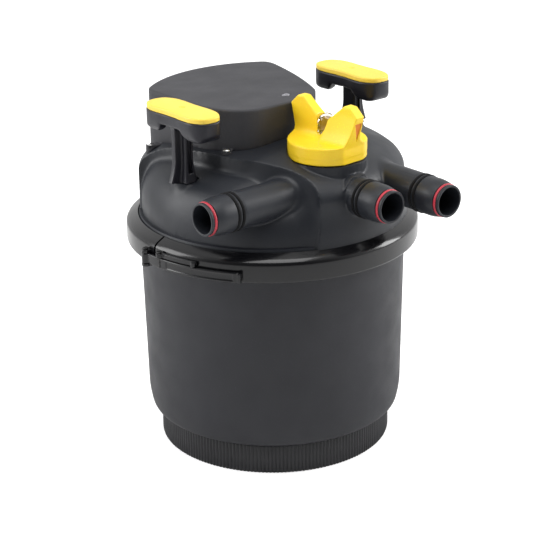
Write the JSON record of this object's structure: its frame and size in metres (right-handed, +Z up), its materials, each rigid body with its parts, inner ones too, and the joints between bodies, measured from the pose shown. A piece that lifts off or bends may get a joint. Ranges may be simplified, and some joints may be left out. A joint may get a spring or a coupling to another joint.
{
  "type": "canister filter",
  "caption": "Pond pressure filter: clamped canister with domed lid, hose ports, selector valve, lamp housing and pull-up handles that squeeze the foam inside.",
  "frame": {"origin": "middle of the underside, on the canister's axis", "axes": "+Z up, -Y towards the two front hose ports, -X towards the side port and the clamp lever"},
  "size_m": [0.4, 0.459, 0.489],
  "materials": {
    "bucket": "fine-textured charcoal moulding",
    "base_ring": "ribbed matt black moulding",
    "lid": "satin blue-black moulding",
    "rubber_black": "smooth",
    "rubber_red": "smooth silicone",
    "clamp": "glossy black moulding",
    "knob": "satin warm yellow moulding",
    "clear": "clear moulded plastic",
    "inner": "matt dark grey moulding",
    "housing": "fine-textured dark grey moulding",
    "steel": "bright",
    "handle": "satin black moulding",
    "insert": "satin light yellow moulding",
    "quartz": "clear quartz",
    "ceramic_white": "white lamp holder",
    "foam": "open-cell filter foam"
  },
  "bodies": {
    "canister": {"bucket": "bucket", "base_ring": "base_ring", "lid": "lid", "lid_seal": "rubber_black", "sleeve_seal": "rubber_black", "rod_seal_left": "rubber_black", "rod_seal_right": "rubber_black", "cable_gland": "rubber_black", "port_seal_a1": "rubber_black", "port_seal_a2": "rubber_black", "port_seal_b1": "rubber_black", "port_seal_b2": "rubber_black", "port_seal_c1": "rubber_black", "port_seal_c2": "rubber_black", "port_ring_a": "rubber_red", "port_ring_b": "rubber_red", "port_ring_c": "rubber_red", "clamp_band": "clamp", "lamp_window": "clear", "cage_plate": "inner", "centre_tube": "inner", "sleeve_nut": "inner", "ballast": "inner", "housing_cover": "housing", "lever_pin": "steel", "cover_screw_1": "steel", "cover_screw_2": "steel", "cover_screw_3": "steel", "cover_screw_4": "steel", "quartz_sleeve": "quartz", "uv_lamp": "quartz", "lamp_socket": "ceramic_white", "foam_ring_1": "foam", "foam_ring_2": "foam", "foam_ring_3": "foam", "foam_ring_4": "foam"},
    "valve": {"valve_knob": "knob", "sight_dome": "clear", "knob_screw": "steel", "valve_rotor": "inner", "rotor_seal": "rubber_black"},
    "squeezer": {"handle_left": "handle", "handle_right": "handle", "grip_insert_left": "insert", "grip_insert_right": "insert", "pull_rod_left": "steel", "pull_rod_right": "steel", "rod_nut_left": "steel", "rod_nut_right": "steel", "squeeze_plate": "inner"},
    "lever": {"latch_lever": "clamp", "link_pin": "steel"},
    "link": {"latch_link": "clamp"}
  },
  "joints": [
    {"name": "valve_turn", "type": "hinge", "parent": "canister", "child": "valve", "pos_m": [0, -0.112, 0.4], "axis": [0, 0, 1], "range_deg": [-90, 0]},
    {"name": "handle_pull", "type": "slide", "parent": "canister", "child": "squeezer", "axis": [0, 0, 1], "range_m": [0, 0.1], "deforming": ["foam_ring_1", "foam_ring_2", "foam_ring_3", "foam_ring_4"]},
    {"name": "lever_swing", "type": "hinge", "parent": "canister", "child": "lever", "pos_m": [-0.19951, 0.01395, 0.2928], "axis": [0, 0, -1], "range_deg": [0, 120]},
    {"name": "link_swing", "type": "hinge", "parent": "lever", "child": "link", "pos_m": [-0.19938, -0.01569, 0.3036], "axis": [0, 0, 1], "range_deg": [0, 100]}
  ],
  "couplings": [
    {"joint": "link_swing", "follows": "lever_swing", "ratio": 0.8}
  ]
}
